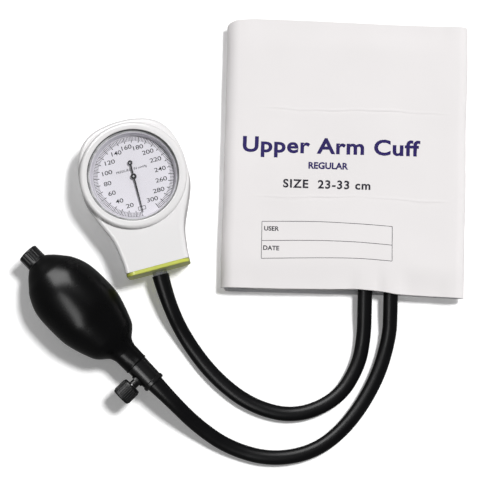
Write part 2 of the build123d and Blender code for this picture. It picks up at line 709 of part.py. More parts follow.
tube_end_y = capsule_y - tube_reach
with BuildPart() as socket_block:
    with BuildSketch(gauge.offset(case_wall)):
        with Locations((0, capsule_y)):
            Circle(socket_r)
    extrude(amount=capsule_bottom_z - case_wall)
    with BuildSketch(gauge_down(tube_end_y, air_tube_z)):
        Circle(air_tube_r)
    extrude(amount=socket_r, mode=Mode.SUBTRACT)
    with BuildSketch(gauge_down(capsule_y, air_tube_z)):
        Circle(air_tube_bore_r)
    extrude(amount=socket_r, mode=Mode.SUBTRACT)
    with BuildSketch(gauge.offset(air_tube_z)):
        with Locations((0, capsule_y)):
            Circle(capsule_inlet_r)
    extrude(amount=capsule_bottom_z - air_tube_z, mode=Mode.SUBTRACT)
socket_block.part.label = "socket_block"

air_route = [
    gauge_point(0, air_tube_start_y, nipple_z),
    gauge_point(0, air_tube_high_y, nipple_z),
    gauge_point(0, air_tube_low_y, air_tube_z),
    gauge_point(0, tube_end_y, air_tube_z),
]
with BuildPart() as air_tube:
    with BuildLine() as air_line:
        FilletPolyline(*air_route, radius=air_tube_bend_r)
    with BuildSketch(Plane(air_line.line @ 0, z_dir=air_line.line % 0)):
        Circle(air_tube_r)
        Circle(air_tube_bore_r, mode=Mode.SUBTRACT)
    sweep(path=air_line.line)
air_tube.part.label = "air_tube"

# nipple: inner flange, body through the end wall and end plate, thread for the nut, hose barb
nipple_back_y, nipple_flange_y, nipple_flange_end = -42.0, -45.0, -46.6
with BuildPart() as hose_nipple:
    for r, start_y, end_y in [
        (nipple_socket_r, nipple_back_y, nipple_flange_y),
        (nipple_flange_r, nipple_flange_y, nipple_flange_end),
        (nipple_body_r, nipple_flange_end, nipple_seat_y),
        (nipple_thread_r, nipple_seat_y, nipple_nut_y),
        (barb_r, nipple_nut_y, nipple_nut_y - nipple_barb_length),
    ]:
        with BuildSketch(gauge_down(start_y, nipple_z)):
            Circle(r)
        extrude(amount=start_y - end_y)
    with BuildSketch(gauge_down(nipple_back_y, nipple_z)):
        Circle(nipple_bore_r)
    extrude(amount=nipple_back_y - nipple_nut_y + nipple_barb_length, mode=Mode.SUBTRACT)
hose_nipple.part.label = "hose_nipple"

with BuildPart() as nipple_nut:
    with BuildSketch(gauge_down(nipple_seat_y, nipple_z)):
        RegularPolygon(nut_half_w, 6, major_radius=False)
        Circle(nipple_thread_r + hole_play, mode=Mode.SUBTRACT)
    extrude(amount=nipple_seat_y - nipple_nut_y)
nipple_nut.part.label = "nipple_nut"

with BuildPart() as nipple_gasket:
    with BuildSketch(gauge_down(nipple_flange_end, nipple_z)):
        Circle(nipple_gasket_r)
        Circle(nipple_body_r + hole_play, mode=Mode.SUBTRACT)
    extrude(amount=nipple_flange_end - neck_end - case_wall)
nipple_gasket.part.label = "nipple_gasket"

# ================================================================ bulb
inner_profile = inset(bulb_profile, bulb_wall)[1:-2]
with BuildPart() as bulb:
    with BuildSketch(bulb_plane):
        with BuildLine():
            Spline(*bulb_profile)
            Line(bulb_profile[-1], (bulb_neck_end, bulb_neck_r))
            Line((bulb_neck_end, bulb_neck_r), (bulb_neck_end, 0))
            Line((bulb_neck_end, 0), (bulb_profile[0][0], 0))
            Line((bulb_profile[0][0], 0), bulb_profile[0])
        make_face()
    revolve(axis=bulb_axis)
    with BuildSketch(bulb_plane):
        with BuildLine():
            Spline(*inner_profile)
            Line(inner_profile[-1], (inner_profile[-1][0], 0))
            Line((inner_profile[-1][0], 0), (inner_profile[0][0], 0))
            Line((inner_profile[0][0], 0), inner_profile[0])
        make_face()
    revolve(axis=bulb_axis, mode=Mode.SUBTRACT)
    with BuildSketch(along_bulb(0)):
        Circle(bulb_mouth_r)
    extrude(amount=bulb_neck_end, mode=Mode.SUBTRACT)
bulb.part.label = "bulb"

# inlet valve: air comes in past a ball, and can't leave
with BuildPart() as end_valve_body:
    with BuildSketch(along_bulb(0)):
        Circle(end_cap_r)
    extrude(amount=end_cap_length)
    fillet(end_valve_body.edges().sort_by(bulb_axis)[0], radius=end_cap_round)
    with BuildSketch(along_bulb(end_cap_length)):
        Circle(end_plug_r)
    extrude(amount=end_plug_end - end_cap_length)
    with BuildSketch(along_bulb(0)):
        with PolarLocations(end_cap_r + notch_out, end_cap_notches):
            Circle(notch_r)
    extrude(amount=end_cap_length - notch_end_gap, mode=Mode.SUBTRACT)
    with BuildSketch(along_bulb(ball_seat)):
        Circle(ball_chamber_r)
    extrude(amount=end_plug_end, mode=Mode.SUBTRACT)
    with BuildSketch(along_bulb(0)):
        Circle(ball_hole_r)
    extrude(amount=ball_seat, mode=Mode.SUBTRACT)
end_valve_body.part.label = "end_valve_body"

with BuildPart(along_bulb(ball_centre)) as end_valve_ball:
    Sphere(ball_r)
end_valve_ball.part.label = "end_valve_ball"

with BuildPart() as end_valve_stop:
    with BuildSketch(along_bulb(ball_stop)):
        Circle(ball_chamber_r - press_play)
        with PolarLocations(ball_chamber_r - 1.0, ball_stop_holes):
            Circle(ball_stop_hole_r, mode=Mode.SUBTRACT)
    extrude(amount=ball_stop_depth)
end_valve_stop.part.label = "end_valve_stop"

# release valve: outlet check disc on the way to the hose, and a screwed needle that lets air out
valve_shape = [
    (valve_start, 0),
    (valve_start, valve_plug_r - 0.4 * valve_plug_nose),
    (valve_start + valve_plug_nose, valve_plug_r),
    (bulb_neck_end, valve_plug_r),
    (bulb_neck_end, valve_body_r),
    (valve_ring_start - valve_ring_slope, valve_body_end_r),
    (valve_ring_start, valve_ring_r),
    (valve_ring_end, valve_ring_r),
    (valve_end, valve_body_end_r),
    (valve_end, barb_r),
    (valve_end + valve_barb_length, barb_r),
    (valve_end + valve_barb_length, 0),
]
with BuildPart() as release_valve_body:
    with BuildSketch(bulb_plane):
        Polygon(*valve_shape, align=None)
    revolve(axis=bulb_axis)
    with BuildSketch(along_knob(0)):
        Circle(release_boss_r)
    extrude(amount=release_boss_end)
    with BuildSketch(along_bulb(valve_start)):
        Circle(valve_air_r)
    extrude(amount=valve_end + valve_barb_length - valve_start, mode=Mode.SUBTRACT)
    with BuildSketch(along_bulb(valve_start)):
        Circle(valve_chamber_r)
    extrude(amount=valve_chamber_end - valve_start, mode=Mode.SUBTRACT)
    with BuildSketch(along_bulb(outlet_stop_start)):
        with PolarLocations(outlet_stud_at, outlet_studs):
            Circle(outlet_stud_r)
    extrude(amount=valve_chamber_end - outlet_stop_start)
    with BuildSketch(along_knob(0)):
        Circle(release_hole_r)
    extrude(amount=release_seat, mode=Mode.SUBTRACT)
    with BuildSketch(along_knob(release_seat)):
        Circle(release_chamber_r)
    extrude(amount=release_boss_end, mode=Mode.SUBTRACT)
    with BuildSketch(Plane(along_knob(vent_at).origin)):
        Circle(vent_r)
    extrude(amount=-vent_length, mode=Mode.SUBTRACT)
release_valve_body.part.label = "release_valve_body"

with BuildPart() as outlet_valve_ring:
    with BuildSketch(along_bulb(valve_start)):
        Circle(valve_chamber_r - press_play)
        Circle(outlet_ring_bore_r, mode=Mode.SUBTRACT)
    extrude(amount=outlet_ring_depth)
outlet_valve_ring.part.label = "outlet_valve_ring"

with BuildPart() as outlet_valve_disc:
    with BuildSketch(along_bulb(outlet_disc_start)):
        Circle(outlet_disc_r)
    extrude(amount=outlet_disc_depth)
outlet_valve_disc.part.label = "outlet_valve_disc"

with BuildPart() as release_plunger:
    with BuildSketch(along_knob(release_seat + hole_play)):
        Circle(needle_head_r)
    extrude(amount=spindle_start - release_seat - 2 * hole_play)
    with BuildSketch(along_knob(release_seat - needle_reach)):
        Circle(needle_tip_r)
    with BuildSketch(along_knob(release_seat + hole_play)):
        Circle(needle_root_r)
    loft()
release_plunger.part.label = "release_plunger"

with BuildPart() as gland_nut:
    with BuildSketch(along_knob(gland_start)):
        Circle(gland_r)
        Circle(gland_bore_r, mode=Mode.SUBTRACT)
    extrude(amount=gland_end - gland_start)
gland_nut.part.label = "gland_nut"

with BuildPart() as valve_spindle:
    with BuildSketch(along_knob(spindle_start)):
        Circle(spindle_r)
    extrude(amount=spindle_end - spindle_start)
valve_spindle.part.label = "valve_spindle"

with BuildPart() as release_knob:
    with BuildSketch(along_knob(knob_start)):
        Circle(knob_r - knob_step)
    extrude(amount=knob_end - knob_start)
    rims = release_knob.edges().filter_by(GeomType.CIRCLE)
    fillet(rims, radius=knob_round)
    with BuildSketch(along_knob(knob_start + knob_band_inset)):
        Circle(knob_r)
        with PolarLocations(knob_r + groove_out, knob_grooves):
            Circle(groove_r, mode=Mode.SUBTRACT)
    extrude(amount=knob_end - knob_start - 2 * knob_band_inset)
    with BuildSketch(along_knob(knob_start)):
        Circle(spindle_r)
    extrude(amount=spindle_end - knob_start, mode=Mode.SUBTRACT)
release_knob.part.label = "release_knob"

# ================================================================ cuff
with BuildPart() as cuff_shell:
    with BuildSketch(cuff_section):
        with BuildLine():
            cuff_layer(shell_outer, shell_inner, shell_fold_x)
        make_face()
    extrude(amount=2 * cuff_half_length)
cuff_shell.part.label = "cuff_shell"

with BuildPart() as cuff_lining:
    with BuildSketch(cuff_section):
        with BuildLine():
            cuff_layer(lining_outer, lining_inner, lining_fold_x)
        make_face()
    extrude(amount=2 * cuff_half_length)
cuff_lining.part.label = "cuff_lining"

with BuildPart() as bladder:
    with BuildSketch(along_port(bladder_x, bladder_half_length)):
        RectangleRounded(bladder_w, bladder_h, bladder_corner)
    extrude(amount=2 * bladder_half_length)
    with BuildSketch(along_port(bladder_x, bladder_half_length - bladder_wall)):
        RectangleRounded(
            bladder_w - 2 * bladder_wall,
            bladder_h - 2 * bladder_wall,
            bladder_corner - bladder_wall,
        )
    extrude(amount=2 * (bladder_half_length - bladder_wall), mode=Mode.SUBTRACT)
    for x in (gauge_port_x, bulb_port_x):
        with BuildSketch(along_port(x, -bladder_half_length + 2 * bladder_wall)):
            Circle(hose_bore_r)
        extrude(amount=2 * bladder_wall, mode=Mode.SUBTRACT)
bladder.part.label = "bladder"


def port(x):
    """A bladder port: a flange inside the wall and a barb for the hose."""
    inner_y = -bladder_half_length + bladder_wall
    with BuildPart() as stub:
        with BuildSketch(along_port(x, inner_y + port_flange_depth)):
            Circle(port_flange_r)
        extrude(amount=port_flange_depth)
        with BuildSketch(along_port(x, inner_y)):
            Circle(barb_r)
        extrude(amount=bladder_wall + port_barb_length)
        with BuildSketch(along_port(x, inner_y + port_flange_depth)):
            Circle(port_bore_r)
        extrude(amount=bladder_wall + port_barb_length + port_flange_depth, mode=Mode.SUBTRACT)
    return stub.part


with BuildPart() as gauge_port:
    add(port(gauge_port_x))
gauge_port.part.label = "gauge_port"

with BuildPart() as bulb_port:
    add(port(bulb_port_x))
bulb_port.part.label = "bulb_port"

with BuildPart() as hook_patch:
    with BuildSketch(cuff.offset(hook_z)):
        with Locations((hook_x, 0)):
            RectangleRounded(hook_w, patch_length, patch_corner)
    extrude(amount=hook_depth)
hook_patch.part.label = "hook_patch"

with BuildPart() as loop_patch:
    with BuildSketch(cuff.offset(loop_z)):
        with Locations((loop_x, 0)):
            RectangleRounded(loop_w, patch_length, patch_corner)
    extrude(amount=loop_depth)
loop_patch.part.label = "loop_patch"

# ================================================================ hoses
gauge_exit = gauge_point(0, nipple_nut_y, nipple_z)
gauge_entry = along_port(gauge_port_x, -bladder_half_length).origin
gauge_out = Vector(*(-gauge.y_dir))
cuff_out = Vector(*(-cuff.y_dir))
gauge_route_points = [
    tuple(gauge_exit),
    tuple(gauge_exit + gauge_out * gauge_first_run),
    (-33.0, -67.8, hose_r),
    (-17.5, -88.3, hose_r),
    (2.5, -103.8, hose_r),
    (26.0, -109.6, hose_r),
    (48.7, -100.2, hose_r),
    (59.8, -82.5, hose_r),
    (62.8, -66.5, hose_r),
    tuple(gauge_entry + cuff_out * cuff_last_run),
    tuple(gauge_entry),
]
bulb_exit = bulb_origin + bulb_way * valve_end
bulb_entry = along_port(bulb_port_x, -bladder_half_length).origin
bulb_route_points = [
    tuple(bulb_exit),
    tuple(bulb_exit + bulb_way * bulb_first_run),
    (-26.5, -113.8, 9.8),
    (-9.5, -125.8, hose_r),
    (13.0, -132.2, hose_r),
    (36.5, -128.0, hose_r),
    (54.8, -113.3, hose_r),
    (69.6, -89.8, hose_r),
    (76.5, -66.8, hose_r),
    tuple(bulb_entry + cuff_out * cuff_last_run),
    tuple(bulb_entry),
]



def hose_tube(points):
    """A hose along straight runs joined by arcs, and the line it follows."""
    with BuildPart() as tube:
        with BuildLine() as route:
            FilletPolyline(*points, radius=bend_radii(points))
        with BuildSketch(Plane(route.line @ 0, z_dir=route.line % 0)):
            Circle(hose_r)
            Circle(hose_bore_r, mode=Mode.SUBTRACT)
        sweep(path=route.line)
    return tube, route


gauge_hose, gauge_line = hose_tube(gauge_route_points)
gauge_hose.part.label = "gauge_hose"
bulb_hose, bulb_line = hose_tube(bulb_route_points)
bulb_hose.part.label = "bulb_hose"

# ================================================================ export
nodes = [
    rear_case,
    front_case,
    end_plate,
    case_screws,
    lens,
    lens_gasket,
    dial_plate,
    pointer,
    pointer_arbor,
    hairspring,
    sector_gear,
    sector_arbor,
    movement_base,
    bridge_pillars,
    movement_bridge,
    bridge_screws,
    frame_screws,
    rocker_shaft,
    capsule,
    capsule_button,
    socket_block,
    air_tube,
    hose_nipple,
    nipple_nut,
    nipple_gasket,
    bulb,
    end_valve_body,
    end_valve_ball,
    end_valve_stop,
    release_valve_body,
    outlet_valve_ring,
    outlet_valve_disc,
    release_plunger,
    gland_nut,
    valve_spindle,
    release_knob,
    cuff_shell,
    cuff_lining,
    bladder,
    gauge_port,
    bulb_port,
    hook_patch,
    loop_patch,
    gauge_hose,
    bulb_hose,
]
for node in nodes:
    export_step(node.part, f"parts/{node.part.label}.step")

hose_section = pi * (hose_r**2 - hose_bore_r**2)
for hose, line, points in [
    (gauge_hose, gauge_line, gauge_route_points),
    (bulb_hose, bulb_line, bulb_route_points),
]:
    length = sum(edge.length for edge in line.edges())
    print(hose.part.label, "points", [tuple(round(c, 2) for c in p) for p in points])
    print("  bend radii", [round(r, 1) for r in bend_radii(points)])
    print("  length", round(length, 2))
    print("  volume over section by length", round(hose.part.volume / (hose_section * length), 4))
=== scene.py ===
"""Looks of the upper arm blood pressure monitor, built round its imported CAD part. Metres, +Z up."""

import math

import bpy
from mathutils import Matrix, Vector, noise


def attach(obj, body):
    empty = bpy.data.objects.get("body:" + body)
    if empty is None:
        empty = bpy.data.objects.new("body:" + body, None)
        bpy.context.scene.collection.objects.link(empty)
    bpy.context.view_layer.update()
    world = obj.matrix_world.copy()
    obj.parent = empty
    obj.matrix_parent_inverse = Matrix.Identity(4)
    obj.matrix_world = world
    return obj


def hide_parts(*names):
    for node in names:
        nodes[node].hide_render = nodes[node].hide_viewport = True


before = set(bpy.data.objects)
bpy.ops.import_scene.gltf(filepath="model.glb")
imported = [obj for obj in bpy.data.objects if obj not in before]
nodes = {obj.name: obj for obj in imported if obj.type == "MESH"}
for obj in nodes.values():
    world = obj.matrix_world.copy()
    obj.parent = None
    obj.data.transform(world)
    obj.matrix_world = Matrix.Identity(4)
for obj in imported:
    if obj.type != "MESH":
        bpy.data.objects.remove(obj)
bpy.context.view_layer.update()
MM = 0.001

# ------------------------------------------------------------------ camera
LENS_MM, SENSOR_MM = 120.0, 36.0
CAMERA_AWAY, CAMERA_ELEVATION = 0.9, math.radians(85.0)
target = Vector((0.00185, -0.01975, 0.0))
camera_way = Vector((0.0, -math.cos(CAMERA_ELEVATION), math.sin(CAMERA_ELEVATION)))
camera_data = bpy.data.cameras.new("camera")
camera = bpy.data.objects.new("camera", camera_data)
bpy.context.scene.collection.objects.link(camera)
bpy.context.scene.camera = camera
camera_data.lens = LENS_MM
camera_data.sensor_width = SENSOR_MM
camera_data.clip_start = 0.05
camera_data.clip_end = 10.0
camera.location = target + CAMERA_AWAY * camera_way
camera.rotation_euler = (target - camera.location).to_track_quat("-Z", "Y").to_euler()


# ------------------------------------------------------------------ materials
def material(name, colour, rough, metal=0.0, vary=0.06, vary_scale=60.0, bump=0.0, bump_scale=900.0,
             rough_vary=0.06, coat=0.0, sheen=0.0, specular=0.5, alpha=1.0):
    """A Principled surface with procedural colour, roughness and bump."""
    mat = bpy.data.materials.new(name)
    mat.use_nodes = True
    tree = mat.node_tree
    shader = tree.nodes["Principled BSDF"]
    shader.inputs["Base Color"].default_value = (*colour, 1.0)
    shader.inputs["Roughness"].default_value = rough
    shader.inputs["Metallic"].default_value = metal
    shader.inputs["Coat Weight"].default_value = coat
    shader.inputs["Coat Roughness"].default_value = 0.15
    shader.inputs["Sheen Weight"].default_value = sheen
    shader.inputs["Specular IOR Level"].default_value = specular
    shader.inputs["Alpha"].default_value = alpha
    place = tree.nodes.new("ShaderNodeTexCoord")
    if vary:
        cloud = tree.nodes.new("ShaderNodeTexNoise")
        cloud.inputs["Scale"].default_value = vary_scale
        cloud.inputs["Detail"].default_value = 4.0
        tree.links.new(place.outputs["Object"], cloud.inputs["Vector"])
        ramp = tree.nodes.new("ShaderNodeValToRGB")
        ramp.color_ramp.elements[0].position = 0.3
        ramp.color_ramp.elements[1].position = 0.7
        ramp.color_ramp.elements[0].color = (*[c * (1 - vary) for c in colour], 1.0)
        ramp.color_ramp.elements[1].color = (*[min(1.0, c * (1 + vary)) for c in colour], 1.0)
        tree.links.new(cloud.outputs["Fac"], ramp.inputs["Fac"])
        tree.links.new(ramp.outputs["Color"], shader.inputs["Base Color"])
        spread = tree.nodes.new("ShaderNodeMapRange")
        spread.inputs["To Min"].default_value = max(0.0, rough - rough_vary)
        spread.inputs["To Max"].default_value = min(1.0, rough + rough_vary)
        tree.links.new(cloud.outputs["Fac"], spread.inputs["Value"])
        tree.links.new(spread.outputs["Result"], shader.inputs["Roughness"])
    if bump:
        grain = tree.nodes.new("ShaderNodeTexNoise")
        grain.inputs["Scale"].default_value = bump_scale
        grain.inputs["Detail"].default_value = 3.0
        tree.links.new(place.outputs["Object"], grain.inputs["Vector"])
        relief = tree.nodes.new("ShaderNodeBump")
        relief.inputs["Strength"].default_value = bump
        relief.inputs["Distance"].default_value = 0.0002
        tree.links.new(grain.outputs["Fac"], relief.inputs["Height"])
        tree.links.new(relief.outputs["Normal"], shader.inputs["Normal"])
    return mat


case_white = material("case_white", (0.755, 0.744, 0.745), 0.30, vary=0.006, bump=0.05, bump_scale=1400,
                      rough_vary=0.015, coat=0.12, specular=0.3)
end_green = material("end_green", (0.52, 0.56, 0.085), 0.32, vary=0.04, bump=0.05, coat=0.3)
steel = material("steel", (0.62, 0.62, 0.64), 0.3, metal=1.0, bump=0.08)
chrome = material("chrome", (0.55, 0.56, 0.58), 0.14, metal=1.0, vary=0.1, bump=0.03)
brass = material("brass", (0.72, 0.55, 0.26), 0.32, metal=1.0, bump=0.06)
bronze = material("bronze", (0.66, 0.46, 0.25), 0.35, metal=1.0, bump=0.06)
# Black of the real gaskets; the same black also paints the shadow in the gap round the lens.
seal_and_gap_shade_black = material("seal_and_gap_shade_black", (0.02, 0.02, 0.022), 0.6, bump=0.1)
seal_grey = material("seal_grey", (0.50, 0.50, 0.51), 0.6, bump=0.1)
dial_paint = material("dial_paint", (0.75, 0.73, 0.785), 0.5, vary=0.02, bump=0.04, bump_scale=2500)
pointer_black = material("pointer_black", (0.010, 0.010, 0.012), 0.5, vary=0.1, bump=0.03, specular=0.12)
ink_black = material("ink_black", (0.016, 0.016, 0.02), 0.6, vary=0.1, bump=0.03, specular=0.12)
ink_navy = material("ink_navy", (0.020, 0.012, 0.100), 0.6, vary=0.12, vary_scale=400, bump=0.04,
                    specular=0.12)
ink_grey = material("ink_grey", (0.022, 0.021, 0.030), 0.6, vary=0.2, vary_scale=400, bump=0.04,
                    specular=0.12)
bulb_rubber = material("bulb_rubber", (0.0015, 0.0015, 0.0017), 0.28, vary=0.2, bump=0.05, bump_scale=1200,
                       rough_vary=0.04, specular=0.16)
hose_rubber = material("hose_rubber", (0.003, 0.003, 0.0035), 0.36, vary=0.2, bump=0.12, bump_scale=1500,
                       specular=0.16)
valve_black = material("valve_black", (0.0025, 0.0025, 0.003), 0.3, vary=0.15, bump=0.1, specular=0.34)
knob_black = material("knob_black", (0.002, 0.002, 0.0025), 0.40, vary=0.15, bump=0.15, specular=0.28)
cuff_vinyl = material("cuff_vinyl", (0.76, 0.737, 0.737), 0.60, vary=0.012, vary_scale=26, bump=0.10,
                      bump_scale=2200, rough_vary=0.04, sheen=0.05, specular=0.1)
cuff_lining = material("cuff_lining", (0.74, 0.74, 0.76), 0.7, vary=0.03, bump=0.3, bump_scale=2600,
                       sheen=0.2)
bladder_rubber = material("bladder_rubber", (0.42, 0.39, 0.35), 0.6, bump=0.1)
port_plastic = material("port_plastic", (0.06, 0.06, 0.065), 0.5, bump=0.1)
hook_nylon = material("hook_nylon", (0.78, 0.78, 0.80), 0.75, vary=0.08, bump=0.8, bump_scale=1800)
loop_nylon = material("loop_nylon", (0.80, 0.80, 0.82), 0.9, vary=0.06, bump=0.8, bump_scale=2600, sheen=0.4)
lens_clear = material("lens_clear", (0.30, 0.31, 0.33), 0.04, vary=0.02, bump=0.01, specular=1.0, alpha=0.05)
floor_white = material("floor_white", (0.94, 0.94, 0.94), 0.75, vary=0.01, vary_scale=6, bump=0.05,
                       bump_scale=300)
floor_shader = floor_white.node_tree.nodes["Principled BSDF"]
floor_shader.inputs["Emission Color"].default_value = (1.0, 1.0, 1.0, 1.0)
floor_shader.inputs["Emission Strength"].default_value = 0.15

node_look = {
    "front_case": case_white, "rear_case": case_white, "end_plate": end_green, "case_screws": steel,
    "lens": lens_clear, "lens_gasket": seal_grey, "dial_plate": dial_paint, "pointer": pointer_black,
    "pointer_arbor": steel, "hairspring": bronze, "sector_gear": brass, "sector_arbor": steel,
    "movement_base": brass, "bridge_pillars": brass, "movement_bridge": brass, "bridge_screws": steel,
    "frame_screws": steel, "rocker_shaft": steel, "capsule": bronze, "capsule_button": brass,
    "socket_block": brass, "air_tube": brass, "hose_nipple": chrome, "nipple_nut": chrome,
    "nipple_gasket": seal_and_gap_shade_black, "bulb": bulb_rubber, "end_valve_body": valve_black,
    "end_valve_ball": steel, "end_valve_stop": valve_black, "release_valve_body": valve_black,
    "outlet_valve_ring": brass, "outlet_valve_disc": seal_and_gap_shade_black, "release_plunger": brass,
    "gland_nut": valve_black, "valve_spindle": steel, "release_knob": knob_black,
    "bladder": bladder_rubber, "gauge_port": port_plastic, "bulb_port": port_plastic,
    "hook_patch": hook_nylon, "loop_patch": loop_nylon,
}
for name, look in node_look.items():
    node = nodes[name]
    if node.data.materials:
        for index in range(len(node.data.materials)):
            node.data.materials[index] = look
    else:
        node.data.materials.append(look)


def mesh_object(name, verts, faces, look, smooth=True):
    """A new mesh object in the scene."""
    mesh = bpy.data.meshes.new(name)
    mesh.from_pydata([tuple(v) for v in verts], [], faces)
    mesh.update()
    mesh.materials.append(look)
    for polygon in mesh.polygons:
        polygon.use_smooth = smooth
    obj = bpy.data.objects.new(name, mesh)
    bpy.context.scene.collection.objects.link(obj)
    return obj


# ------------------------------------------------------------------ hoses
HOSE_D = 7.8 * MM
GAUGE_SWELL, BULB_SWELL = 1.16, 1.2

# Points of each centre line in millimetres, from its barb to its port under the cuff.
gauge_route = [
    (-45.73, -34.33, 13.0), (-42.05, -48.05, 13.0), (-33.0, -67.8, 3.9), (-17.5, -88.3, 3.9),
    (2.5, -103.8, 3.9), (26.0, -109.6, 3.9), (48.7, -100.2, 3.9), (59.8, -82.5, 3.9),
    (62.8, -66.5, 3.9), (63.0, -51.74, 8.1), (63.37, -37.65, 8.1),
]
bulb_route = [
    (-47.97, -91.82, 19.88), (-39.56, -100.38, 19.88), (-26.5, -113.8, 9.8), (-9.5, -125.8, 3.9),
    (13.0, -132.2, 3.9), (36.5, -128.0, 3.9), (54.8, -113.3, 3.9), (69.6, -89.8, 3.9),
    (76.5, -66.8, 3.9), (76.74, -52.1, 8.1), (77.11, -38.01, 8.1),
]


def hose(name, route, swell):
    """A hose along its route, a little swollen where it is pushed over its barb."""
    curve = bpy.data.curves.new(name, "CURVE")
    curve.dimensions = "3D"
    curve.resolution_u = 24
    curve.bevel_depth = HOSE_D / 2
    curve.bevel_resolution = 10
    curve.use_fill_caps = True
    line = curve.splines.new("NURBS")
    line.points.add(len(route) - 1)
    for i, (x, y, z) in enumerate(route):
        line.points[i].co = (x * MM, y * MM, z * MM, 1.0)
        line.points[i].radius = swell if i == 0 else 1.0
    line.order_u = 3
    line.use_endpoint_u = True
    curve.materials.append(hose_rubber)
    obj = bpy.data.objects.new(name, curve)
    bpy.context.scene.collection.objects.link(obj)
    return obj


gauge_hose = hose("gauge_hose_look", gauge_route, GAUGE_SWELL)
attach(gauge_hose, "monitor")
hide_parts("gauge_hose")
bulb_hose = hose("bulb_hose_look", bulb_route, BULB_SWELL)
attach(bulb_hose, "monitor")
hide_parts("bulb_hose")

# ------------------------------------------------------------------ frames of gauge, bulb and cuff
GAUGE_TURN, CUFF_TURN, BULB_TURN = math.radians(15.0), math.radians(-1.5), math.radians(-45.5)
gauge_at = Matrix.Translation((-0.05955, 0.01725, 0.0)) @ Matrix.Rotation(GAUGE_TURN, 4, "Z")
cuff_at = Matrix.Translation((0.05285, 0.02865, 0.0)) @ Matrix.Rotation(CUFF_TURN, 4, "Z")
bulb_origin = Vector((-0.11575, -0.02285, 0.01988))
bulb_way = Vector((math.cos(BULB_TURN), math.sin(BULB_TURN), 0.0))


def flat_text(words, size, bold=0.0, spacing=1.0, align="CENTER"):
    """The points and faces of a line of words, flat, at its own origin."""
    curve = bpy.data.curves.new("words", "FONT")
    curve.body = words
    curve.size = size
    curve.offset = bold
    curve.space_character = spacing
    curve.align_x = align
    curve.align_y = "CENTER"
    curve.resolution_u = 4
    holder = bpy.data.objects.new("words", curve)
    bpy.context.scene.collection.objects.link(holder)
    bpy.context.view_layer.update()
    mesh = bpy.data.meshes.new_from_object(holder.evaluated_get(bpy.context.evaluated_depsgraph_get()))
    verts = [v.co.copy() for v in mesh.vertices]
    faces = [tuple(p.vertices) for p in mesh.polygons]
    bpy.data.objects.remove(holder)
    bpy.data.meshes.remove(mesh)
    return verts, faces


class Print:
    """Many flat marks collected into one mesh."""

    def __init__(self):
        self.verts, self.faces = [], []

    def add(self, verts, faces, place=None):
        """Takes in a mark, with each point moved by place if it is given."""
        first = len(self.verts)
        self.verts += [place(v) if place else v for v in verts]
        self.faces += [tuple(first + i for i in f) for f in faces]

    def bar(self, x0, y0, x1, y1, width):
        """A straight bar between two points."""
        start = Vector((x0, y0, 0.0))
        along = Vector((x1 - x0, y1 - y0, 0.0))
        side = Vector((-along.y, along.x, 0.0)).normalized() * width / 2
        self.add([start - side, start + side, start + along - side, start + along + side], [(0, 2, 3, 1)])

    def arc(self, radius, width, sweep, steps=180):
        """A round line, clockwise from straight down through sweep degrees."""
        verts, faces = [], []
        for i in range(steps + 1):
            angle = math.radians(sweep * i / steps)
            for r in (radius - width / 2, radius + width / 2):
                verts.append(Vector((-r * math.sin(angle), -r * math.cos(angle), 0.0)))
        for i in range(steps):
            faces.append((2 * i, 2 * i + 1, 2 * i + 3, 2 * i + 2))
        self.add(verts, faces)


# ------------------------------------------------------------------ dial
DIAL_TOP = 21.9 * MM
PRINT_LIFT = 0.03 * MM
DEG_PER_MMHG = 1.12
FULL_SCALE = 300
TICK_STEP, LONG_TICK_EVERY, NUMBER_EVERY = 2, 10, 20
TICK_OUTER, LONG_INNER, SHORT_INNER = 21.3, 18.3, 19.1
LONG_WIDTH, SHORT_WIDTH = 0.40, 0.27
SCALE_LINE, SCALE_LINE_WIDTH = 21.35, 0.14
NUMBER_SIZE, NUMBER_STRETCH, NUMBER_BOLD = 3.2, 1.36, 0.02
NUMBER_RADIUS, NUMBER_DRAW_IN, DRAW_IN_POWER = 16.0, 1.6, 1.5
ZERO_HALF, ZERO_LOW, ZERO_HIGH, ZERO_LINE = 1.9, -18.1, -16.3, 0.26
UNIT_SIZE, UNIT_HEIGHT, UNIT_GAP = 1.7, 4.1, 0.9


def dial_point(radius, pressure):
    """A point on the dial for a pressure; the scale runs clockwise from straight down."""
    angle = math.radians(pressure * DEG_PER_MMHG)
    return Vector((-radius * math.sin(angle), -radius * math.cos(angle), 0.0))


dial = Print()
for pressure in range(TICK_STEP, FULL_SCALE + 1, TICK_STEP):
    is_long = pressure % LONG_TICK_EVERY == 0
    inner = LONG_INNER if is_long else SHORT_INNER
    width = LONG_WIDTH if is_long else SHORT_WIDTH
    a, b = dial_point(inner * MM, pressure), dial_point(TICK_OUTER * MM, pressure)
    dial.bar(a.x, a.y, b.x, b.y, width * MM)
dial.arc(SCALE_LINE * MM, SCALE_LINE_WIDTH * MM, 336.0)
for pressure in range(NUMBER_EVERY, FULL_SCALE + 1, NUMBER_EVERY):
    verts, faces = flat_text(str(pressure), NUMBER_SIZE * MM, bold=NUMBER_BOLD * MM, spacing=0.96)
    sideways = abs(math.sin(math.radians(pressure * DEG_PER_MMHG)))
    spot = dial_point((NUMBER_RADIUS - NUMBER_DRAW_IN * sideways ** DRAW_IN_POWER) * MM, pressure)
    dial.add(verts, faces, lambda v: Vector((NUMBER_STRETCH * v.x, v.y, 0.0)) + spot)
zero_box = [(-ZERO_HALF, ZERO_LOW), (ZERO_HALF, ZERO_LOW), (ZERO_HALF, ZERO_HIGH), (-ZERO_HALF, ZERO_HIGH)]
for (x0, y0), (x1, y1) in zip(zero_box, zero_box[1:] + zero_box[:1]):
    dial.bar(x0 * MM, y0 * MM, x1 * MM, y1 * MM, ZERO_LINE * MM)
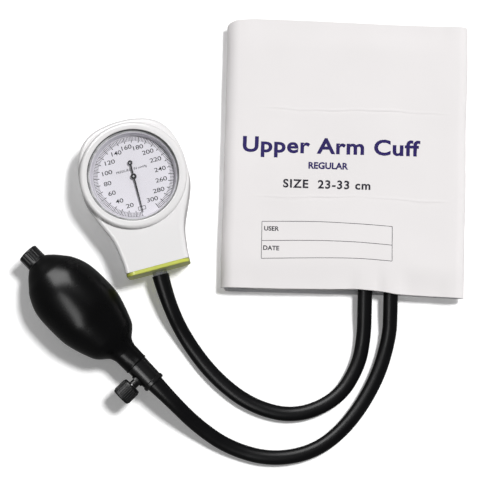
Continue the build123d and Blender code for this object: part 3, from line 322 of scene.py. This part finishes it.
for words, align, side in (("PRESSURE", "RIGHT", -UNIT_GAP), ("IN mmHg", "LEFT", UNIT_GAP)):
    verts, faces = flat_text(words, UNIT_SIZE * MM, bold=NUMBER_BOLD * MM, spacing=1.05, align=align)
    dial.add(verts, faces, lambda v: v + Vector((side * MM, UNIT_HEIGHT * MM, 0.0)))
dial_print_at = Vector((0, 0, DIAL_TOP + PRINT_LIFT))
dial_marks = mesh_object("dial_marks", [gauge_at @ (v + dial_print_at) for v in dial.verts], dial.faces,
                         ink_black, smooth=False)
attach(dial_marks, "monitor")

# ------------------------------------------------------------------ painted shade ring in the lens gap, and trim inside the rim
def gauge_ring(name, section, look, around=160):
    """A ring round the gauge's axis, from a closed section of (radius, height) pairs in millimetres."""
    verts, faces = [], []
    for radius, height in section:
        for k in range(around):
            angle = 2 * math.pi * k / around
            place = Vector((radius * math.cos(angle), radius * math.sin(angle), height))
            verts.append(gauge_at @ (place * MM))
    for i in range(len(section)):
        first, second = i * around, (i + 1) % len(section) * around
        for k in range(around):
            after = (k + 1) % around
            faces.append((first + k, first + after, second + after, second + k))
    ring = mesh_object(name, verts, faces, look, smooth=False)
    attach(ring, "monitor")


gap_shade_section = [(24.08, 27.95), (24.08, 29.9), (23.95, 29.9), (23.95, 27.95)]
trim_section = [(22.97, 22.0), (22.97, 27.4), (22.7, 27.4), (21.75, 22.25), (21.75, 22.0)]
# A thin black ring in the gap between lens and bore: painted shade standing for the shadow down that gap, not
# a real seal.
gauge_ring("lens_gap_shade_look", gap_shade_section, seal_and_gap_shade_black)
gauge_ring("dial_trim_look", trim_section, dial_paint)

# ------------------------------------------------------------------ bulb
WOBBLE, WOBBLE_SCALE, WOBBLE_FULL_RADIUS = 0.25, 45.0, 12.0
PROFILE_STEPS = 8

# Distance along the bulb's axis and radius, in millimetres.
bulb_profile = [
    (7.9, 6.3), (10.6, 9.3), (14.3, 12.5), (18.5, 15.6), (25.9, 18.6), (34.8, 19.7), (46.5, 19.5),
    (54.4, 17.7), (62.3, 14.9), (65.5, 13.4), (67.9, 11.3), (71.0, 7.9), (74.2, 6.6),
]


def smooth_curve(points, steps):
    """A Catmull-Rom curve through the points."""
    out = []
    ends = [points[0]] + list(points) + [points[-1]]
    for a, b, c, d in zip(ends, ends[1:], ends[2:], ends[3:]):
        for i in range(steps):
            t = i / steps
            out.append(tuple(
                0.5 * (2 * q + (r - p) * t + (2 * p - 5 * q + 4 * r - s) * t * t
                       + (3 * q - p - 3 * r + s) * t**3)
                for p, q, r, s in zip(a, b, c, d)))
    out.append(tuple(points[-1]))
    return out


def lathe(name, profile, look, around=128):
    """A slightly uneven surface of revolution round the bulb's axis, from (distance, radius) pairs."""
    up = Vector((0, 0, 1))
    side = bulb_way.cross(up)
    verts, faces = [], []
    for distance, radius in profile:
        for k in range(around):
            angle = 2 * math.pi * k / around
            spoke = up * math.cos(angle) + side * math.sin(angle)
            place = bulb_origin + bulb_way * distance * MM + spoke * radius * MM
            uneven = noise.noise(place * WOBBLE_SCALE)
            place += spoke * WOBBLE * MM * uneven * min(1.0, radius / WOBBLE_FULL_RADIUS)
            verts.append(place)
    for i in range(len(profile) - 1):
        for k in range(around):
            a, b = i * around + k, i * around + (k + 1) % around
            faces.append((a, a + around, b + around, b))
    return mesh_object(name, verts, faces, look)


outer = smooth_curve(bulb_profile, PROFILE_STEPS)
neck = [
    (74.8, 6.55), (78.0, 6.45), (81.6, 6.35), (82.3, 6.55), (82.7, 6.5), (83.0, 6.1), (83.0, 4.2),
    (80.0, 4.0),
]
lip = [(12.0, 4.0), (7.9, 4.0), (7.6, 4.6), (7.6, 5.6)]
bulb_look = lathe("bulb_look", lip + outer + neck, bulb_rubber)
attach(bulb_look, "monitor")
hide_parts("bulb")

# ------------------------------------------------------------------ cuff
# Flat cuff coordinates in millimetres: x across the folded cuff, y along its height, z up from the table.
HALF = 73.0
LEFT_X, RIGHT_X, FOLD_X, LINING_FOLD_X = -58.05, 59.2, -47.0, -46.95
STRIP_START_X, STRIP_END_X = 58.0, 50.0
PANEL_TOP, PRINT_GAP = 13.9, 0.06
edge_low = [
    (-66, -71.0), (-33.4, -71.0), (-3.0, -70.5), (6.4, -70.1), (19.7, -71.0), (28.8, -72.4), (44.7, -73.0),
    (66, -73.6),
]
edge_high = [(-66, 71.2), (-60, 73.2), (-50, 74.3), (-17, 73.8), (22, 72.8), (66, 72.6)]
BACK_EDGE, LINING_DRAW_IN = -72.4, 0.985
LOW_SAG, TOP_SAG, CORNER_DRAW_IN = 2.0, 1.1, 1.4
ROLL_WAVE, ROLL_WAVE_SCALE = 0.35, 0.03
HOSE_TENT = 6.0
CREASE_WIDTH = 0.55

# Each packing crease: its height in y, its depth, and the slow wave, phase and fast wave of its line.
creases = [(25.6, 0.34, 0.09, 0.0, 0.31), (-22.0, 0.24, 0.07, 1.0, 0.27)]
SLOW_WAVE, FAST_WAVE = 0.5, 0.2

# Size, scale and seed of each layer of unevenness in the front panel.
swells = [(0.75, 0.024, 3.1), (0.22, 0.06, 8.4)]
PANEL_DROP = 0.1

# Layers of the folded cloth are numbered along it, with a half for each turn between two of them.
OUTER_TURN_BELOW, PINCHED_FROM = 1.75, 2.5
WIDE_TURN_STEPS, TIGHT_TURN_STEPS, TIGHT_REACH = 22, 6, 2
PINCH_Z, PINCH_START, PINCH_WIDTH = 4.75, 59, 13
hose_x = (12.25, 26.0)


def between(table, x):
    """Straight-line interpolation in a table of pairs."""
    if x <= table[0][0]:
        return table[0][1]
    for (x0, y0), (x1, y1) in zip(table, table[1:]):
        if x <= x1:
            return y0 + (y1 - y0) * (x - x0) / (x1 - x0)
    return table[-1][1]


def rise(value, start, width):
    """A smooth step from 0 at start to 1 past its width."""
    t = min(1.0, max(0.0, (value - start) / width))
    return t * t * (3 - 2 * t)


def over_hose(x):
    """1 above a hose, 0 away from both."""
    return max(math.exp(-(((x - h) / HOSE_TENT) ** 4)) for h in hose_x)


def crease_line(x, which):
    """Height in y of a packing crease across the front panel."""
    middle, _, slow, phase, fast = creases[which]
    return middle + SLOW_WAVE * math.sin(x * slow + phase) + FAST_WAVE * math.sin(x * fast)


def panel_relief(x, y):
    """Small unevenness of the front panel, in millimetres."""
    soft = sum(size * noise.noise(Vector((x * scale, y * scale, seed))) for size, scale, seed in swells)
    line = 0.0
    for which, (_, depth, *_) in enumerate(creases):
        away = (y - crease_line(x, which)) / CREASE_WIDTH
        strength = 0.55 + 0.45 * noise.noise(Vector((x * 0.05, which * 9.0, 1.7)))
        line += depth * strength * (math.exp(-away * away) - 0.6 * math.exp(-((away + 1.6) ** 2)))
    return soft - PANEL_DROP + line * rise(x, -50, 14) * rise(58 - x, 0, 10)


def settle(x, y, z, outer_turn):
    """Moves a point of the flat-folded cuff to where the soft cloth lies."""
    high = rise(z, 6.0, 7.0)
    low_sag = LOW_SAG * rise(-y, 56, 17) * (1 - 0.9 * over_hose(x)) * (0.55 + 0.45 * rise(x, -10, 50))
    top_sag = TOP_SAG * rise(y, 58, 15)
    roll = min(1.0, rise(-x, 47, 8) + rise(x, 50, 8))
    dz = 0.0
    if outer_turn:
        dz = high * (panel_relief(x, y) * (1 - 0.6 * roll) - (low_sag + top_sag) * (1 - 0.55 * roll))
    if y < 0:
        edge = between(edge_low, x)
        if outer_turn and z < 2.0:
            edge = BACK_EDGE
        y_new = y * (-edge / HALF)
    else:
        y_new = y * (between(edge_high, x) / HALF if outer_turn else LINING_DRAW_IN)
        if outer_turn:
            y_new -= CORNER_DRAW_IN * rise(y, 40, 33) * (1 - high) * rise(-x, 50, 14)
    wave = ROLL_WAVE * noise.noise(Vector((y * ROLL_WAVE_SCALE, 0.0, 5.0 if x < 0 else 9.0)))
    return x + wave * roll, y_new, z + dz


def serpentine(levels, turns, start_x, end_x, step=2.2):
    """Points along straight layers joined by half-round turns, with the layer number of each."""
    out = []
    here = start_x
    for i, x in enumerate(turns):
        count = max(2, int(abs(x - here) / step))
        out += [(here + (x - here) * k / count, levels[i], i) for k in range(count)]
        side = -1 if i % 2 == 0 else 1
        reach, middle = abs(levels[i + 1] - levels[i]) / 2, (levels[i] + levels[i + 1]) / 2
        rounds = WIDE_TURN_STEPS if reach > TIGHT_REACH else TIGHT_TURN_STEPS
        rise = 1 if levels[i + 1] > levels[i] else -1
        for k in range(rounds):
            angle = math.pi * k / rounds
            out.append((x + side * reach * math.sin(angle), middle - rise * reach * math.cos(angle), i + 0.5))
        here = x
    count = max(2, int(abs(end_x - here) / step))
    out += [(here + (end_x - here) * k / count, levels[-1], len(turns)) for k in range(count + 1)]
    return out


# Rows of points along the height, closer together at the creases and at the edges.
CREASE_BAND, CREASE_STEP, PLAIN_STEP = 2.4, 0.3, 1.25
EDGE_BAND, EDGE_STEP = 2.0, 0.35
crease_middles = [crease_line(0.0, which) for which in range(len(creases))]
rows = [-HALF]
while rows[-1] < HALF:
    near = any(abs(rows[-1] - middle) < CREASE_BAND for middle in crease_middles)
    plain_or_edge = EDGE_STEP if HALF - abs(rows[-1]) < EDGE_BAND else PLAIN_STEP
    rows.append(min(HALF, rows[-1] + (CREASE_STEP if near else plain_or_edge)))


def cloth_strip(name, levels, fold_x, is_shell, look, thick):
    """One cloth of the cuff along its folded path; the shell's inner layer is pinched beside the hoses."""
    path = serpentine(levels, [LEFT_X, RIGHT_X, fold_x], STRIP_START_X, STRIP_END_X)
    verts, faces = [], []
    for x, z, layer in path:
        for y in rows:
            pinched_z = z
            if is_shell and layer >= PINCHED_FROM and z > PINCH_Z:
                pinch = rise(abs(y), PINCH_START, PINCH_WIDTH)
                open_up = over_hose(x) if y < 0 else 0.0
                pinched_z = PINCH_Z + (z - PINCH_Z) * (1 - pinch * (1 - open_up))
            px, py, pz = settle(x, y, pinched_z, layer < OUTER_TURN_BELOW)
            verts.append(cuff_at @ Vector((px * MM, py * MM, pz * MM)))
    across = len(rows)
    for i in range(len(path) - 1):
        for k in range(across - 1):
            a = i * across + k
            faces.append((a, a + 1, a + across + 1, a + across))
    obj = mesh_object(name, verts, faces, look)
    thicken = obj.modifiers.new("thickness", "SOLIDIFY")
    thicken.thickness = thick * MM
    thicken.offset = 0.0
    thicken.use_even_offset = False
    return obj


SHELL_THICK, LINING_THICK = 0.5, 0.45
shell_levels = [0.25, 13.65, 2.55, 12.45]
lining_levels = [0.80, 13.10, 3.10, 3.75]
cuff_shell = cloth_strip("cuff_shell_look", shell_levels, FOLD_X, True, cuff_vinyl, SHELL_THICK)
cuff_inner = cloth_strip("cuff_lining_look", lining_levels, LINING_FOLD_X, False, cuff_lining, LINING_THICK)
for piece, node, slot_name in (
    (cuff_shell, "cuff_shell", "cuff_vinyl"),
    (cuff_inner, "cuff_lining", "cuff_lining_cloth"),
):
    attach(piece, "monitor")
    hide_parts(node)


def panel_point(v):
    """A point printed on the front panel, from flat cuff coordinates in millimetres."""
    x, y = v.x, v.y
    flat_y = y / ((-between(edge_low, x) if y < 0 else between(edge_high, x)) / HALF)
    px, py, pz = settle(x, flat_y, PANEL_TOP, True)
    return cuff_at @ Vector((px * MM, py * MM, (pz + PRINT_GAP) * MM))


def cuff_words(store, words, size, origin, bold, turn, stretch, spacing=1.0, align="CENTER"):
    """Adds a line of words to a print, turned, stretched sideways and moved to its origin."""
    verts, faces = flat_text(words, size, bold=bold, spacing=spacing, align=align)
    c, s = math.cos(turn), math.sin(turn)
    x, y = origin
    store.add(verts, faces, lambda v: Vector((x + stretch * (v.x * c - v.y * s), y + v.x * s + v.y * c, 0.0)))


navy = Print()
cuff_words(navy, "Upper Arm Cuff", 11.5, (-8.3, 5.4), 0.33, spacing=1.07, turn=-0.003, stretch=1.15)
cuff_words(navy, "REGULAR", 4.8, (-9.3, -4.9), 0.17, turn=-0.003, stretch=1.02)
navy_print = mesh_object("cuff_words_navy", [panel_point(v) for v in navy.verts], navy.faces, ink_navy,
                         smooth=False)
black = Print()
cuff_words(black, "SIZE  23-33 cm", 6.2, (-9.6, -15.0), 0.18, spacing=1.14, turn=-0.004, stretch=1.06)
cuff_words(black, "USER", 3.3, (-42.6, -39.2), 0.08, align="LEFT", turn=-0.01, stretch=1.05)
cuff_words(black, "DATE", 3.3, (-42.9, -49.6), 0.08, align="LEFT", turn=-0.01, stretch=1.05)
FORM_LINE_WIDTH, FORM_LINE_STEPS = 0.28, 12
form_lines = [
    [(-43.7, -35.4), (-15.4, -34.8), (6.9, -35.4), (25.7, -36.4)],
    [(-43.65, -45.7), (-15.4, -44.9), (6.9, -45.2), (25.8, -46.4)],
    [(-43.6, -55.2), (-15.4, -54.2), (6.9, -53.9), (25.9, -54.9)],
    [(-43.7, -35.4), (-43.65, -45.7), (-43.6, -55.2)],
    [(25.7, -36.4), (25.8, -46.4), (25.9, -54.9)],
]
for corners in form_lines:
    line = smooth_curve(corners, FORM_LINE_STEPS)
    for (x0, y0), (x1, y1) in zip(line, line[1:]):
        black.bar(x0, y0, x1, y1, FORM_LINE_WIDTH)
black_print = mesh_object("cuff_words_black", [panel_point(v) for v in black.verts], black.faces, ink_grey,
                          smooth=False)
for piece in (navy_print, black_print):
    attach(piece, "monitor")

# ------------------------------------------------------------------ floor and light
FLOOR_SIZE, FLOOR_DROP, WORLD_STRENGTH = 6.0, 0.0002, 0.17
bpy.ops.mesh.primitive_plane_add(size=FLOOR_SIZE, location=(0, 0, -FLOOR_DROP))
floor = bpy.context.object
floor.name = "floor"
floor.data.materials.append(floor_white)
floor.visible_glossy = False

world = bpy.data.worlds.new("world")
bpy.context.scene.world = world
world.use_nodes = True
world.node_tree.nodes["Background"].inputs["Color"].default_value = (1.0, 1.0, 1.0, 1.0)
world.node_tree.nodes["Background"].inputs["Strength"].default_value = WORLD_STRENGTH


def area_light(name, place, aim, size, power, glossy=True, diffuse=True, turn=0.0):
    """A rectangular light turned to face its aim; it may be left out of reflections or of diffuse light."""
    data = bpy.data.lights.new(name, "AREA")
    data.shape = "RECTANGLE"
    data.size, data.size_y = size
    data.energy = power
    obj = bpy.data.objects.new(name, data)
    bpy.context.scene.collection.objects.link(obj)
    obj.location = place
    facing = (Vector(aim) - Vector(place)).to_track_quat("-Z", "Y").to_matrix()
    obj.rotation_euler = (facing @ Matrix.Rotation(turn, 3, "Z")).to_euler()
    obj.visible_glossy = glossy
    obj.visible_diffuse = diffuse


BULB = (-0.075, -0.045, 0.02)
KEY_POWER, WINDOW_POWER, STRIP_POWER = 46.5, 24.0, 8.0
window_place = (BULB[0] - 0.30, BULB[1] + 0.715, 0.65)
strip_place = (BULB[0] - 0.32, BULB[1] - 0.32, 0.91)
area_light("key", (0.66, 0.46, 2.05), (0, 0, 0), (0.30, 0.30), KEY_POWER, glossy=False)
area_light("window", window_place, BULB, (0.86, 0.66), WINDOW_POWER, diffuse=False)
area_light("strip", strip_place, BULB, (0.9, 0.3), STRIP_POWER, diffuse=False, turn=math.radians(-45))

scene = bpy.context.scene
scene.view_settings.view_transform = "Standard"
scene.view_settings.look = "None"
